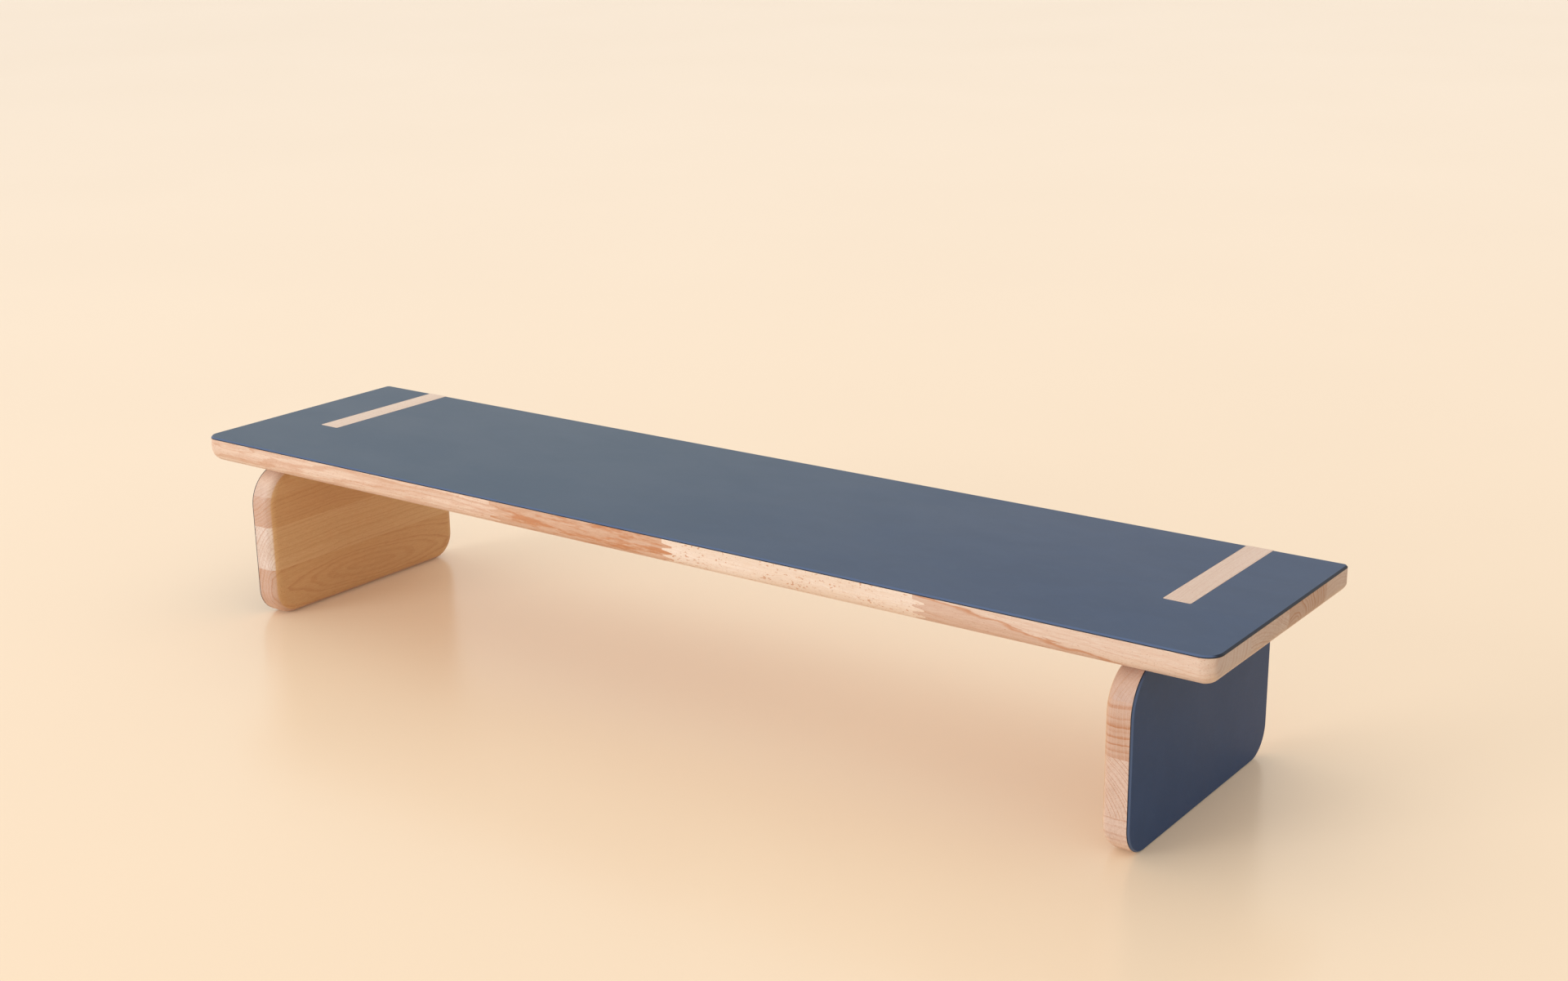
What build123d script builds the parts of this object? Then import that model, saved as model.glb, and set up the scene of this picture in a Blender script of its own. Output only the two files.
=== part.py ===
from build123d import *
import os

# Low balance beam: a long laminated beech board, faced with linoleum, that stands on two slab legs.
# Each leg carries a dovetailed tab, which slides into the board from its rear edge.
# X runs along the board, Y across it towards its rear edge, Z up.
# The origin is on the floor, under the middle of the board.

# Driving dimensions, in millimetres
board_length = 1305.0
board_width = 300.0
beam_height = 212.0           # floor to the top of the linoleum
wood = 28.0                   # thickness of every beech panel
linoleum = 2.5                # thickness of the facing
linoleum_bevel = 1.5          # bevel round the rim of each facing
overhang = 74.5               # board end to the outer face of a leg
front_plan_radius = 17.0      # front corners of the board, seen from above
rear_plan_radius = 5.0        # rear corners of the board, seen from above
board_edge_radius = 16.5      # rounding of the board's edges underneath
leg_edge_radius = 12.0        # rounding of a leg's inner edges
leg_top_corner = 45.0         # front top corner of a leg, seen from the end
leg_bottom_corner = 32.0      # bottom corners of a leg, seen from the end

# Sliding dovetail between leg and board
tab_length = 186.5            # measured forward from the rear edge
tab_slope = 1 / 8             # each flank leans in by this much per unit of depth
tab_corner = 2.0              # rounded corners at the closed end
clearance = 0.2               # between every sliding face of tab and slot

# Finger joints between the lengths of wood in a stave
finger_length = 13.0
finger_pitch = 7.0
finger_tip = 1.6
fingers = 3                   # whole fingers within the thickness of the wood

# Glue lines between the staves, across the board and up each leg
board_glue_lines = [-76.0, 7.0, 95.0]
right_leg_glue_lines = [41.0, 98.0, 152.0]
left_leg_glue_lines = [60.0, 113.0, 150.0]

# Finger joints along each stave of the board, from the front one to the rear one
front_stave_joints = [-182.0, 56.0, 355.0]
second_stave_joints = [-318.0, 12.0, 296.0]
third_stave_joints = [-205.0, 158.0]
rear_stave_joints = [-96.0, 262.0]

# Worked out from the driving dimensions
underside = beam_height - linoleum - wood
wood_top = beam_height - linoleum
half_length = board_length / 2
half_width = board_width / 2
leg_face = half_length - overhang          # outer face of a leg, on its linoleum
leg_wood_face = leg_face - linoleum
leg_centre = leg_wood_face - wood / 2      # middle of the wood, and of the tab
shoulder = underside - clearance           # top of a leg beside its tab
reach = 10.0                               # how far cutting bodies run past the wood

os.makedirs("parts", exist_ok=True)


def finish(part, name):
    """Label a finished piece and write its file."""
    part.label = name
    export_step(part, f"parts/{name}.step")


def tab_half_width(z):
    """Half the width of a leg's tab at height z."""
    return wood / 2 - (beam_height - z) * tab_slope


def dovetail(centre, bottom, top, gap):
    """A dovetail bar from the rear edge forward, with its faces moved out by gap."""
    low = tab_half_width(bottom) + gap
    high = tab_half_width(top) + gap
    with BuildPart() as bar:
        with BuildSketch(Plane.XZ.offset(-half_width)):
            with BuildLine():
                Polyline(
                    (centre - low, bottom),
                    (centre + low, bottom),
                    (centre + high, top),
                    (centre - high, top),
                    close=True,
                )
            make_face()
        extrude(amount=tab_length + gap)
        closed_end = bar.faces().sort_by(Axis.Y)[0]
        flank_edges = closed_end.edges().filter_by(GeomType.LINE).sort_by(Axis.Z)[1:3]
        fillet(flank_edges, tab_corner + gap)
    return bar.part


def cut_slots():
    """Cut the slots for both tabs out of the part that is being built."""
    for side in (-1, 1):
        add(dovetail(side * leg_centre, underside - reach, beam_height + reach, clearance), mode=Mode.SUBTRACT)


def board_plate(bottom, thickness, rear_radius):
    """A plate of the board's plan, with rear corners of the given radius."""
    with BuildPart() as plate:
        with BuildSketch(Plane.XY.offset(bottom)) as outline:
            Rectangle(board_length, board_width)
            fillet(outline.vertices().group_by(Axis.Y)[0], front_plan_radius)
            if rear_radius > 0:
                fillet(outline.vertices().group_by(Axis.Y)[-1], rear_radius)
        extrude(amount=thickness)
    return plate.part


# Board: the whole wood panel, rounded underneath, before it is taken apart into its staves
with BuildPart() as board_panel:
    add(board_plate(underside, wood, 0))
    fillet(board_panel.faces().sort_by(Axis.Z)[0].edges(), board_edge_radius)
    add(board_plate(underside, wood, rear_plan_radius), mode=Mode.INTERSECT)
    cut_slots()


def finger_joint(x):
    """The zigzag of a finger joint at x, from the underside up to the top of the wood."""
    left, right = x - finger_length / 2, x + finger_length / 2
    points = [(left, wood_top + reach)]
    for number in range(1, fingers + 1):
        middle = wood_top - number * finger_pitch
        points.append((left, middle + (finger_pitch - finger_tip) / 2))
        points.append((right, middle + finger_tip / 2))
        points.append((right, middle - finger_tip / 2))
        points.append((left, middle - (finger_pitch - finger_tip) / 2))
    points.append((left, underside - reach))
    return points


def straight_end(x):
    """A plain boundary at x, outside the wood."""
    return [(x, wood_top + reach), (x, underside - reach)]


def board_length_of_wood(name, front, rear, left_end, right_end):
    """One length of wood in a stave, between two boundaries drawn in the XZ plane."""
    with BuildPart() as piece:
        with BuildSketch(Plane.XZ.offset(-rear)):
            with BuildLine():
                Polyline(*left_end, *reversed(right_end), close=True)
            make_face()
        extrude(amount=rear - front)
        add(board_panel.part, mode=Mode.INTERSECT)
    finish(piece.part, name)


def board_stave(name, front, rear, joints, slotted_through):
    """All the lengths of wood in one stave. The slots cut the ends off a stave behind their closed end."""
    past_end = half_length + reach
    bounds = [straight_end(-past_end), *[finger_joint(x) for x in joints], straight_end(past_end)]
    if slotted_through:
        board_length_of_wood(f"{name}_left_end", front, rear, bounds[0], straight_end(-leg_centre))
        board_length_of_wood(f"{name}_right_end", front, rear, straight_end(leg_centre), bounds[-1])
        bounds[0] = straight_end(-leg_centre)
        bounds[-1] = straight_end(leg_centre)
    for number, (left_end, right_end) in enumerate(zip(bounds, bounds[1:]), start=1):
        board_length_of_wood(f"{name}_length_{number}", front, rear, left_end, right_end)


glue_line_1, glue_line_2, glue_line_3 = board_glue_lines
board_stave("board_front_stave", -half_width - reach, glue_line_1, front_stave_joints, False)
board_stave("board_second_stave", glue_line_1, glue_line_2, second_stave_joints, False)
board_stave("board_third_stave", glue_line_2, glue_line_3, third_stave_joints, True)
board_stave("board_rear_stave", glue_line_3, half_width + reach, rear_stave_joints, True)


# Linoleum on the board, cut out round both tabs and bevelled round its outer rim
with BuildPart() as top_linoleum:
    add(board_plate(wood_top, linoleum, rear_plan_radius))
    chamfer(top_linoleum.faces().sort_by(Axis.Z)[-1].edges(), linoleum_bevel)
    cut_slots()
finish(top_linoleum.part, "board_top_linoleum")


def leg_slab(side, inner, outer):
    """A leg below the board, between two distances from the middle of the beam.

    Three of its corners are round. The one below the tab's rear end is square.
    """
    with BuildPart() as slab:
        with BuildSketch(Plane.YZ.offset(side * inner)) as outline:
            Rectangle(board_width, shoulder, align=(Align.CENTER, Align.MIN))
            fillet(outline.vertices().group_by(Axis.Y)[0], leg_bottom_corner)
            fillet(outline.vertices().group_by(Axis.Y)[-1].sort_by(Axis.X)[0], leg_top_corner)
        extrude(amount=side * (outer - inner))
    return slab.part


def make_leg(side, name, glue_lines):
    """One leg: its wood panel with the tab, taken apart into staves, and its linoleum."""
    inner_face = leg_wood_face - wood
    with BuildPart() as panel:
        add(leg_slab(side, inner_face, leg_wood_face))
        inner_rim = panel.faces().sort_by(Axis.X)[0 if side > 0 else -1].edges()
        fillet(inner_rim, leg_edge_radius)
        with BuildSketch(Plane.XY.offset(shoulder)):
            with Locations((side * leg_centre, half_width - tab_length / 2)):
                Rectangle(wood, tab_length)
        extrude(amount=-leg_edge_radius)
        add(dovetail(side * leg_centre, shoulder, beam_height, 0))

    levels = [-reach, *glue_lines, beam_height + reach]
    for number, (low, high) in enumerate(zip(levels, levels[1:]), start=1):
        with BuildPart() as stave:
            with BuildSketch(Plane.XY.offset(low)):
                Rectangle(board_length, board_width + reach)
            extrude(amount=high - low)
            add(panel.part, mode=Mode.INTERSECT)
        finish(stave.part, f"{name}_stave_{number}")

    with BuildPart() as facing:
        add(leg_slab(side, leg_wood_face, leg_face))
        chamfer(facing.faces().sort_by(Axis.X)[-1 if side > 0 else 0].edges(), linoleum_bevel)
    finish(facing.part, f"{name}_linoleum")


make_leg(-1, "left_leg", left_leg_glue_lines)
make_leg(1, "right_leg", right_leg_glue_lines)
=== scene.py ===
import math

import bpy
from mathutils import Euler, Matrix, Vector

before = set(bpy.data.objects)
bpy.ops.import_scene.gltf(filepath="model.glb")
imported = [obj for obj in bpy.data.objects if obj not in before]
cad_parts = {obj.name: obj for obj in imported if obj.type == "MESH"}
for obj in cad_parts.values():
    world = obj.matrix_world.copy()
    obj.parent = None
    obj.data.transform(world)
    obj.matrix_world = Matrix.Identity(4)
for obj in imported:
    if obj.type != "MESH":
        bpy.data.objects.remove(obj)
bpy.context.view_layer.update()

MM = 0.001

# Camera
CAMERA_PLACE = Vector((1.3317, -1.7018, 0.8609))
CAMERA_YAW = math.radians(-36.03)       # to the left of +Y
CAMERA_PITCH = math.radians(-16.68)     # below the horizon
CAMERA_ROLL = math.radians(-0.68)
LENS_MM = 48.1
SENSOR_MM = 36.0

# Colours, linear. The first four are tones of beech
PALE = (0.84, 0.720, 0.635)
PINK = (0.77, 0.600, 0.500)
TAN = (0.67, 0.455, 0.340)
ROSE = (0.65, 0.468, 0.380)
HEART = (0.52, 0.230, 0.110)            # reddish patches and streaks
LATEWOOD = (0.50, 0.215, 0.090)         # dark edge of each growth ring
FLECK = (0.36, 0.160, 0.075)            # rays, cut as small brown lenses
CLOUDED = (0.86, 0.78, 0.70)            # what slow darker clouds leave of a tone
FIBRE_DARK = (0.40, 0.36, 0.33)         # overlaid on the wood
FIBRE_PALE = (0.60, 0.60, 0.60)
LINOLEUM = (0.024, 0.060, 0.140)
LINOLEUM_DARK = (0.022, 0.056, 0.131)
LINOLEUM_PALE = (0.033, 0.073, 0.150)
LINOLEUM_PAINTED_REFLECTION = (0.032, 0.082, 0.138)  # painted reflection, greener and paler towards the left end of the board
LINOLEUM_BEVEL_HIGHLIGHT = (0.100, 0.145, 0.260)   # painted highlight on the bevel
LINOLEUM_EDGE_SHADE = (0.010, 0.012, 0.018)   # painted shade on the cut edge
SHADED_GOLD = (0.660, 0.410, 0.190)          # painted shade with warm light off the floor, which the legs' wide faces tend to
SHADE_WARMING = (1.04, 0.910, 0.640)         # multiplies them, as part of the same painted shade
END_GRAIN_AND_SHADE = {"X": (0.77, 0.790, 0.830), "Y": (0.88, 0.865, 0.895)}    # darkens the ends by grain direction: partly end grain's own colour, partly painted shade, strongest on the board's ends
FLOOR = (0.890, 0.720, 0.535)
FLOOR_GLOW = 0.08                       # lifts the shadows under the beam
FLOOR_REACH = 14.0                      # from its middle to each edge
DAYLIGHT = (0.97, 0.98, 1.0)
ROOM = (1.0, 0.950, 0.880)


class Graph:
    """The nodes of one material. Each method adds a node and returns its output socket."""

    def __init__(self, name):
        self.material = bpy.data.materials.new(name)
        self.material.use_nodes = True
        self.tree = self.material.node_tree
        self.shader = self.tree.nodes["Principled BSDF"]

    def feed(self, socket, value):
        if isinstance(value, bpy.types.NodeSocket):
            self.tree.links.new(value, socket)
        else:
            socket.default_value = value

    def node(self, kind, inputs, output=0, **settings):
        node = self.tree.nodes.new(kind)
        for key, value in settings.items():
            setattr(node, key, value)
        for key, value in inputs.items():
            self.feed(node.inputs[key], value)
        return node.outputs[output]

    def surface(self, **inputs):
        for key, value in inputs.items():
            self.feed(self.shader.inputs[key.replace("_", " ")], value)

    def math(self, operation, first, second=0.0):
        return self.node("ShaderNodeMath", {0: first, 1: second}, operation=operation)

    def add(self, first, second):
        return self.math("ADD", first, second)

    def times(self, first, second):
        return self.math("MULTIPLY", first, second)

    def span(self, value, low, high, start=0.0, end=1.0):
        """Value, mapped smoothly from low..high to start..end."""
        inputs = {"Value": value, "From Min": low, "From Max": high, "To Min": start, "To Max": end}
        return self.node("ShaderNodeMapRange", inputs, interpolation_type="SMOOTHSTEP")

    def mix(self, factor, first, second, blend="MIX"):
        """Two colours, mixed."""
        first, second = (
            value if isinstance(value, bpy.types.NodeSocket) else (*value, 1.0) for value in (first, second)
        )
        inputs = {0: factor, 6: first, 7: second}
        return self.node("ShaderNodeMix", inputs, output=2, data_type="RGBA", blend_type=blend)

    def stretch(self, vector, sizes, offset=(0.0, 0.0, 0.0)):
        """The vector divided by a size along each axis, for a noise of scale 1 with features that large."""
        scale = [1.0 / size for size in sizes]
        moved = self.node("ShaderNodeVectorMath", {0: vector, 1: offset}, operation="ADD")
        return self.node("ShaderNodeVectorMath", {0: moved, 1: scale}, operation="MULTIPLY")

    def noise(self, vector, sizes, detail=2.0, roughness=0.5, offset=(0.0, 0.0, 0.0)):
        """Noise between 0 and 1 with features of the given sizes."""
        inputs = {
            "Vector": self.stretch(vector, sizes, offset),
            "Scale": 1.0,
            "Detail": detail,
            "Roughness": roughness,
        }
        return self.node("ShaderNodeTexNoise", inputs)

    def bump(self, height, distance, strength=1.0):
        inputs = {"Height": height, "Distance": distance, "Strength": strength}
        self.feed(self.shader.inputs["Normal"], self.node("ShaderNodeBump", inputs))


def millimetres(graph):
    """The object's own coordinates, in millimetres."""
    place = graph.node("ShaderNodeTexCoord", {}, output="Object")
    return graph.node("ShaderNodeVectorMath", {0: place, 3: 1.0 / MM}, operation="SCALE")


def beech(
    name, tone, pith, along="X", spacing=3.2, rings=0.5, band=0.30, wave=1.0, lean=(0.0, 0.0), streaks=0.4,
    heart=0.0, spots=0.0, wedge=None, seed=0,
):
    """One length of beech.

    The grain runs along X in the board and along Y in the legs. The other two coordinates, across and up, cut
    through the growth rings, whose middle, the pith, is at (across, up) millimetres. It drifts by lean
    millimetres per metre along the grain. Spacing is the width of a year, and the share of it before band is
    plain. Wave says how far the rings stray. Rings, streaks, heart and spots say how strong each figure is.
    Wedge is where pale sapwood begins above a reddish line: its start along the grain, its slope, and its
    level at the start.
    """
    graph = Graph(name)
    order = (0, 1, 2) if along == "X" else (1, 0, 2)
    parts = graph.node("ShaderNodeSeparateXYZ", {0: millimetres(graph)}).node
    grain, across, up = (parts.outputs[index] for index in order)
    normal = graph.node("ShaderNodeTexCoord", {}, output="Normal")
    normal = graph.node("ShaderNodeSeparateXYZ", {0: normal}).node
    grain_facing, across_facing = (graph.math("ABSOLUTE", normal.outputs[index]) for index in order[:2])
    shift = (531.0 * seed, 177.0 * seed, 91.0 * seed)
    wood = graph.node("ShaderNodeCombineXYZ", {0: grain, 1: across, 2: up})

    # Growth rings round the wandering pith
    offsets = []
    for index, (coordinate, middle, drift) in enumerate(zip((across, up), pith, lean)):
        wander = graph.noise(wood, (230.0, 400.0, 400.0), offset=(shift[0] + 900.0 * index, 0.0, 0.0))
        wander = graph.math("MULTIPLY_ADD", wander, 22.0)
        wander.node.inputs[2].default_value = -11.0 - middle
        drifted = graph.add(coordinate, graph.times(grain, drift * MM))
        offsets.append(graph.add(drifted, wander))
    radius = graph.math("SQRT", graph.add(*(graph.times(offset, offset) for offset in offsets)))
    ripple = graph.noise(wood, (60.0, 11.0, 11.0), detail=3.0, offset=shift)
    radius = graph.add(radius, graph.times(ripple, 3.6 * wave))
    years = graph.math("DIVIDE", radius, spacing)
    uneven = graph.node("ShaderNodeTexNoise", {"W": years, "Scale": 0.31}, noise_dimensions="1D")
    years = graph.add(years, graph.times(uneven, 2.2))
    season = graph.math("FRACT", years)
    late = graph.times(graph.span(season, band, 0.93), graph.span(season, 0.93, 1.0, 1.0, 0.0))
    year_depth = graph.node("ShaderNodeTexNoise", {"W": years, "Scale": 0.83}, noise_dimensions="1D")
    late = graph.times(late, graph.span(year_depth, 0.30, 0.68, 0.15, 1.0))

    # End grain is where the surface faces along the grain
    end_grain = graph.span(grain_facing, 0.72, 0.96)

    # Slow changes of colour along the stave
    cloud = graph.noise(wood, (210.0, 34.0, 34.0), detail=3.0, offset=shift)
    darker = [share * c for share, c in zip(CLOUDED, tone)]
    colour = graph.mix(graph.span(cloud, 0.38, 0.66, 0.0, 0.45), tone, darker)
    streak = graph.noise(wood, (120.0, 2.6, 2.6), detail=4.0, roughness=0.62, offset=shift)
    colour = graph.mix(graph.span(streak, 0.36, 0.70, 0.0, streaks), colour, [0.84 * c for c in TAN])
    if heart:
        patch = graph.noise(wood, (62.0, 15.0, 8.0), detail=6.0, roughness=0.66, offset=shift)
        colour = graph.mix(graph.span(patch, 0.47, 0.60, 0.0, heart), colour, HEART)

    if along == "Y":
        top = graph.span(graph.math("ABSOLUTE", normal.outputs[2]), 0.90, 0.99, 0.0, 0.35)
        colour = graph.mix(top, colour, PALE)
        # The legs' wide faces turn golden as painted shade with warm light off the floor, ending sharply at
        # the rounded edges
        gold_in_shade = graph.mix(0.70, graph.mix(1.0, colour, SHADE_WARMING, "MULTIPLY"), SHADED_GOLD)
        colour = graph.mix(graph.span(across_facing, 0.72, 0.84), colour, gold_in_shade)
    if wedge:
        start, slope, level = wedge
        depth = graph.times(graph.add(grain, -start), -slope)
        depth = graph.add(graph.add(up, -level), depth)
        ragged = graph.noise(wood, (38.0, 6.0, 6.0), detail=4.0, offset=shift)
        depth = graph.add(depth, graph.span(ragged, 0.2, 0.8, -3.0, 3.0))
        colour = graph.mix(graph.span(depth, -0.5, 1.5, 0.0, 0.40), colour, PALE)
        line = graph.times(graph.span(depth, -3.2, -0.4), graph.span(depth, -0.4, 0.9, 1.0, 0.0))
        colour = graph.mix(graph.times(line, 0.72), colour, HEART)

    ring_depth = graph.times(late, graph.span(end_grain, 0.0, 1.0, rings, min(1.0, 1.5 * rings)))
    colour = graph.mix(ring_depth, colour, LATEWOOD)

    # Fine fibres, pores and rays
    fibre = graph.noise(wood, (9.0, 0.55, 0.55), detail=3.0, roughness=0.7, offset=shift)
    pore = graph.noise(wood, (1.1, 0.45, 0.45), detail=2.0, offset=shift)
    fibre = graph.mix(end_grain, fibre, pore)
    grey = graph.mix(graph.span(fibre, 0.25, 0.75), FIBRE_DARK, FIBRE_PALE)
    colour = graph.mix(0.55, colour, grey, "OVERLAY")
    ray = graph.noise(wood, (2.4, 0.75, 0.75), detail=1.0, offset=shift)
    colour = graph.mix(graph.span(ray, 0.64, 0.73, 0.0, 0.50), colour, FLECK)
    if spots:
        spot = graph.noise(wood, (4.2, 2.7, 2.2), detail=2.0, roughness=0.4, offset=shift)
        group = graph.noise(wood, (46.0, 30.0, 17.0), detail=1.0, offset=shift)
        dots = graph.times(graph.span(spot, 0.61, 0.67), graph.span(group, 0.36, 0.56, 0.0, spots))
        colour = graph.mix(dots, colour, HEART)

    # Across end grain, rays show as fine pale lines that run out from the pith
    angle = graph.math("ARCTAN2", offsets[1], offsets[0])
    spokes = {"W": graph.times(angle, 150.0), "Scale": 1.0}
    spokes = graph.node("ShaderNodeTexNoise", spokes, noise_dimensions="1D")
    spokes = graph.times(graph.span(spokes, 0.54, 0.70, 0.0, 0.30), end_grain)
    colour = graph.mix(spokes, colour, PALE)
    # End grain darkened: partly its own colour, partly painted shade
    colour = graph.mix(end_grain, colour, graph.mix(1.0, colour, END_GRAIN_AND_SHADE[along], "MULTIPLY"))

    roughness = graph.add(graph.span(fibre, 0.2, 0.8, 0.40, 0.50), graph.times(end_grain, 0.08))
    height = graph.add(graph.times(fibre, 0.7), graph.times(late, -0.5))
    graph.surface(Base_Color=colour, Roughness=roughness, IOR=1.45, Specular_IOR_Level=0.42)
    graph.surface(Coat_Weight=0.10, Coat_Roughness=0.30)
    graph.bump(height, 0.00006, 0.55)
    return graph.material


def linoleum(name, faces, gloss, shade_tint, seed):
    """Furniture linoleum: a matt, smoky blue sheet with faint clouds, cork specks and a calendered grain.

    Faces is the index of the axis that the sheet faces along. Gloss is its specular level. The tint given
    multiplies the colour of its skin, as painted shade.
    """
    graph = Graph(name)
    place = millimetres(graph)
    shift = (640.0 * seed, 210.0 * seed, 75.0 * seed)
    swirls = {"Vector": graph.stretch(place, (90.0, 90.0, 90.0), shift), "Scale": 1.0}
    warp = graph.node("ShaderNodeTexNoise", swirls, output=1)
    pull = graph.node("ShaderNodeVectorMath", {0: warp, 3: 46.0}, operation="SCALE")
    warped = graph.node("ShaderNodeVectorMath", {0: place, 1: pull}, operation="ADD")
    cloud = graph.noise(warped, (62.0, 34.0, 34.0), detail=6.0, roughness=0.62, offset=shift)
    colour = graph.mix(graph.span(cloud, 0.34, 0.66), LINOLEUM_DARK, LINOLEUM)
    marble = graph.noise(warped, (14.0, 9.0, 9.0), detail=5.0, roughness=0.66, offset=shift)
    colour = graph.mix(graph.span(marble, 0.52, 0.78, 0.0, 0.50), colour, LINOLEUM_PALE)
    speck = graph.noise(place, (0.9, 0.9, 0.9), detail=2.0, roughness=0.7, offset=shift)
    colour = graph.mix(graph.span(speck, 0.62, 0.75, 0.0, 0.45), colour, LINOLEUM_PALE)
    colour = graph.mix(graph.span(speck, 0.24, 0.36, 0.45, 0.0), colour, [0.5 * c for c in LINOLEUM_DARK])

    # Painted shade: the tint given deepens the legs' sheets, and the board's stays plain
    colour = graph.mix(1.0, colour, shade_tint, "MULTIPLY")
    if faces == 2:
        x = graph.node("ShaderNodeSeparateXYZ", {0: place}, output=0)
        # Painted reflection: the board's sheet turns greener and paler towards its left end
        colour = graph.mix(graph.span(x, -300.0, 520.0, 0.65, 0.0), colour, LINOLEUM_PAINTED_REFLECTION)

    # Painted highlight on the bevel, and painted shade on the cut edge
    normal = graph.node("ShaderNodeTexCoord", {}, output="Normal")
    normal = graph.node("ShaderNodeSeparateXYZ", {0: normal}).node
    slope = graph.math("ABSOLUTE", normal.outputs[faces])
    # Painted highlight where the surface turns onto the bevel
    colour = graph.mix(graph.span(slope, 0.78, 0.95, 0.9, 0.0), colour, LINOLEUM_BEVEL_HIGHLIGHT)
    # Painted shade on the cut edge of the sheet
    colour = graph.mix(graph.span(slope, 0.30, 0.55, 0.9, 0.0), colour, LINOLEUM_EDGE_SHADE)
    if faces == 2:
        # Painted shade on the board's sheet where it faces towards its ends
        painted_end_shade = graph.span(graph.math("ABSOLUTE", normal.outputs[0]), 0.45, 0.65, 0.0, 0.85)
        colour = graph.mix(painted_end_shade, colour, LINOLEUM_EDGE_SHADE)

    grain = graph.noise(place, (0.5, 0.5, 0.5), detail=2.0, offset=shift)
    wear = graph.noise(warped, (130.0, 70.0, 90.0), detail=4.0, roughness=0.6, offset=shift)
    graph.surface(Base_Color=colour, Roughness=graph.span(wear, 0.3, 0.7, 0.32, 0.35))
    graph.surface(IOR=1.47, Specular_IOR_Level=gloss)
    graph.bump(graph.add(grain, graph.times(speck, 0.6)), 0.00005, 0.5)
    return graph.material


def paint(node, material):
    """Give every face of a CAD node the same material."""
    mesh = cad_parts[node].data
    mesh.materials.clear()
    mesh.materials.append(material)


def stave(node, tone, pith, **figure):
    """Paint a length of wood with beech of its own."""
    paint(node, beech(f"beech_{node}", tone, pith, **figure))


# Board: tone, pith and figure of each length of wood, from left to right in each stave
stave("board_front_stave_length_1", PINK, (-128, 168), spacing=3.4, rings=0.50, band=0.45, wave=2.0,
      lean=(20, 45), heart=0.20, spots=0.35, seed=1)
stave("board_front_stave_length_2", TAN, (-110, 176), spacing=5.0, rings=0.30, wave=2.0, lean=(70, 60),
      heart=0.95, seed=2)
stave("board_front_stave_length_3", PALE, (-80, 120), spacing=4.6, rings=0.10, lean=(20, 40),
      streaks=0.15, spots=0.7, seed=3)
stave("board_front_stave_length_4", ROSE, (-150, 268), spacing=6.5, rings=0.30, band=0.55, wave=1.4,
      lean=(0, 85), wedge=(380, -0.135, 209.5), seed=4)

for number, (tone, heart) in enumerate([(TAN, 0.2), (PINK, 0.0), (PALE, 0.0), (PINK, 0.15)], start=1):
    stave(f"board_second_stave_length_{number}", tone, (-20 - 9 * number, 126), rings=0.34,
          lean=(25, 60), heart=heart, seed=10 + number)
for number, (tone, heart) in enumerate([(PINK, 0.0), (TAN, 0.25), (PALE, 0.0)], start=1):
    stave(f"board_third_stave_length_{number}", tone, (52 + 5 * number, 112), rings=0.36,
          lean=(-30, 50), heart=heart, seed=20 + number)
for number, (tone, heart) in enumerate([(PALE, 0.0), (PINK, 0.2), (TAN, 0.0)], start=1):
    stave(f"board_rear_stave_length_{number}", tone, (122 - 6 * number, 140), rings=0.30,
          lean=(20, -60), heart=heart, seed=30 + number)
stave("board_third_stave_left_end", PINK, (48, 118), rings=0.40, seed=41)
stave("board_third_stave_right_end", TAN, (18, 184), spacing=4.6, rings=0.95, band=0.2, seed=42)
stave("board_rear_stave_left_end", TAN, (128, 146), rings=0.36, seed=43)
stave("board_rear_stave_right_end", PINK, (118, 120), spacing=3.0, rings=0.24, seed=44)

# Legs: the grain runs across the beam, and each stave's rings show on its front and rear edges
stave("left_leg_stave_1", TAN, (-548, 28), along="Y", spacing=5.0, rings=0.50, band=0.4, wave=1.6,
      lean=(150, 40), seed=51)
stave("left_leg_stave_2", PALE, (-480, 30), along="Y", spacing=3.6, rings=0.34, band=0.5, wave=0.6,
      lean=(30, 20), seed=52)
stave("left_leg_stave_3", TAN, (-610, 190), along="Y", spacing=4.0, rings=0.36, lean=(20, 40), seed=53)
stave("left_leg_stave_4", PINK, (-620, 235), along="Y", spacing=3.6, rings=0.24, band=0.5, wave=0.6,
      lean=(20, 20), streaks=0.2, seed=54)
stave("right_leg_stave_1", PINK, (562, -70), along="Y", spacing=6.0, rings=0.40, band=0.5, lean=(40, 40),
      seed=55)
stave("right_leg_stave_2", PINK, (495, 12), along="Y", spacing=3.5, rings=0.60, band=0.62, wave=0.5,
      lean=(40, 20), seed=56)
stave("right_leg_stave_3", TAN, (556, 250), along="Y", spacing=7.0, rings=0.80, band=0.25, wave=0.8,
      lean=(20, 40), seed=57)
stave("right_leg_stave_4", ROSE, (640, 120), along="Y", spacing=3.0, rings=0.34, band=0.6, wave=0.5,
      lean=(20, 20), streaks=0.2, seed=58)

# Linoleum: the board's is given more gloss, and the legs' a deeper blue tint, which is painted shade.
# Linoleum: the board's looks glossier in the photo, and the legs' deeper. Part of that may be its light
PLAIN = (1.0, 1.0, 1.0)
LEG_LINOLEUM_SHADE = (0.92, 0.98, 1.12)
paint("board_top_linoleum", linoleum("linoleum_board", faces=2, gloss=0.17, shade_tint=PLAIN, seed=1))
paint("left_leg_linoleum", linoleum("linoleum_left_leg", faces=0, gloss=0.12, shade_tint=LEG_LINOLEUM_SHADE, seed=2))
paint("right_leg_linoleum", linoleum("linoleum_right_leg", faces=0, gloss=0.12, shade_tint=LEG_LINOLEUM_SHADE, seed=3))


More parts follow.
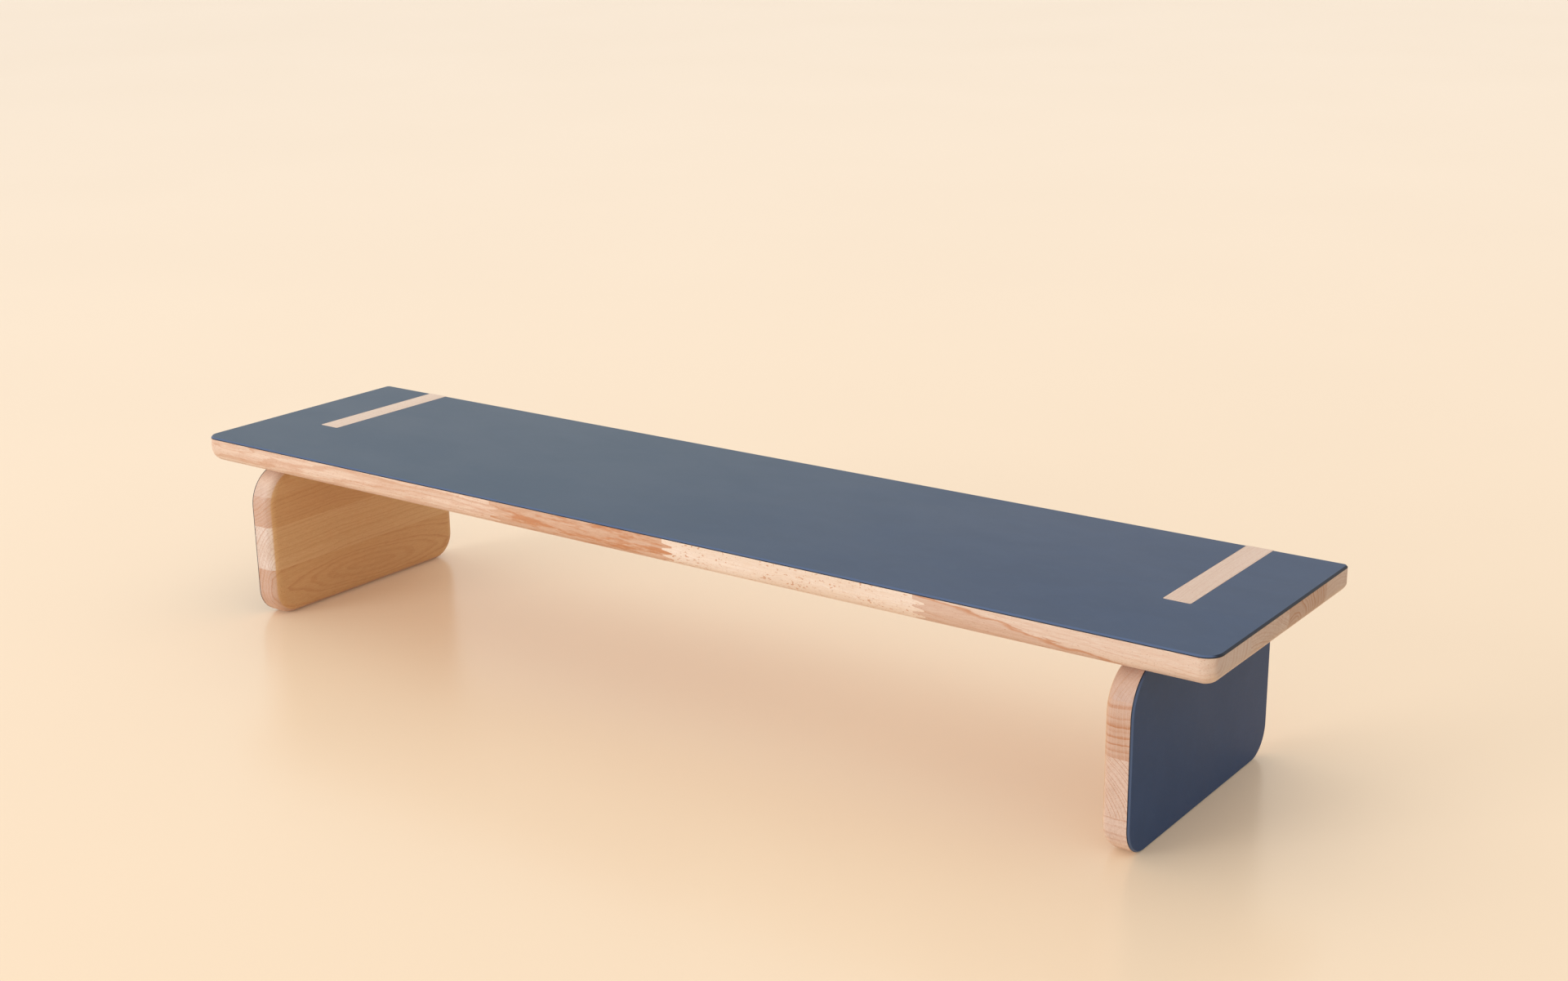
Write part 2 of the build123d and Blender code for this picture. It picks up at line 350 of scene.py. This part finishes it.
def studio_floor():
    """A wide, pale, slightly glossy floor."""
    graph = Graph("studio_floor")
    place = millimetres(graph)
    cloud = graph.noise(place, (900.0, 900.0, 900.0), detail=3.0)
    shade = graph.mix(graph.span(cloud, 0.3, 0.7, 0.0, 1.0), FLOOR, [0.985 * c for c in FLOOR])
    graph.surface(Base_Color=shade)
    graph.surface(Roughness=graph.span(cloud, 0.3, 0.7, 0.22, 0.23), IOR=1.45)
    graph.surface(Emission_Color=(*FLOOR, 1.0), Emission_Strength=FLOOR_GLOW)
    reach = FLOOR_REACH
    corners = [(-reach, -reach, 0), (reach, -reach, 0), (reach, reach, 0), (-reach, reach, 0)]
    mesh = bpy.data.meshes.new("studio_floor")
    mesh.from_pydata(corners, [], [(0, 1, 2, 3)])
    floor = bpy.data.objects.new("studio_floor", mesh)
    floor.data.materials.append(graph.material)
    bpy.context.collection.objects.link(floor)


def soft_light(name, place, target, size, power, colour):
    """A square area light that faces its target."""
    lamp = bpy.data.lights.new(name, "AREA")
    lamp.shape = "SQUARE"
    lamp.size = size
    lamp.energy = power
    lamp.color = colour
    light = bpy.data.objects.new(name, lamp)
    light.location = place
    light.rotation_euler = (Vector(target) - Vector(place)).to_track_quat("-Z", "Y").to_euler()
    bpy.context.collection.objects.link(light)


def studio_world(strength, dim_side):
    """Even light from all round, dimmer from the +X side."""
    world = bpy.data.worlds.new("room_light")
    world.use_nodes = True
    nodes, links = world.node_tree.nodes, world.node_tree.links
    direction = nodes.new("ShaderNodeTexCoord")
    parts = nodes.new("ShaderNodeSeparateXYZ")
    links.new(direction.outputs["Generated"], parts.inputs[0])
    fade = nodes.new("ShaderNodeMapRange")
    fade.interpolation_type = "SMOOTHSTEP"
    links.new(parts.outputs[0], fade.inputs["Value"])
    for key, value in {"From Min": 0.1, "From Max": 0.9, "To Min": strength, "To Max": dim_side}.items():
        fade.inputs[key].default_value = value
    background = nodes["Background"]
    background.inputs["Color"].default_value = (*ROOM, 1.0)
    links.new(fade.outputs[0], background.inputs["Strength"])
    bpy.context.scene.world = world


def studio_camera():
    camera = bpy.data.objects.new("camera", bpy.data.cameras.new("camera"))
    camera.data.lens = LENS_MM
    camera.data.sensor_width = SENSOR_MM
    camera.data.clip_end = 60.0
    upright = Euler((math.pi / 2 + CAMERA_PITCH, 0.0, -CAMERA_YAW), "XYZ").to_matrix().to_4x4()
    camera.matrix_world = Matrix.Translation(CAMERA_PLACE) @ upright @ Matrix.Rotation(CAMERA_ROLL, 4, "Z")
    bpy.context.collection.objects.link(camera)
    bpy.context.scene.camera = camera


studio_floor()
studio_world(strength=0.96, dim_side=0.67)
soft_light("key", place=(-3.4, -6.2, 1.7), target=(0.0, 0.0, 0.1), size=3.0, power=195.0, colour=DAYLIGHT)
soft_light("top", place=(0.0, 2.5, 6.0), target=(0.0, 0.5, 0.0), size=6.0, power=20.0, colour=DAYLIGHT)
studio_camera()
bpy.context.scene.view_settings.view_transform = "Standard"
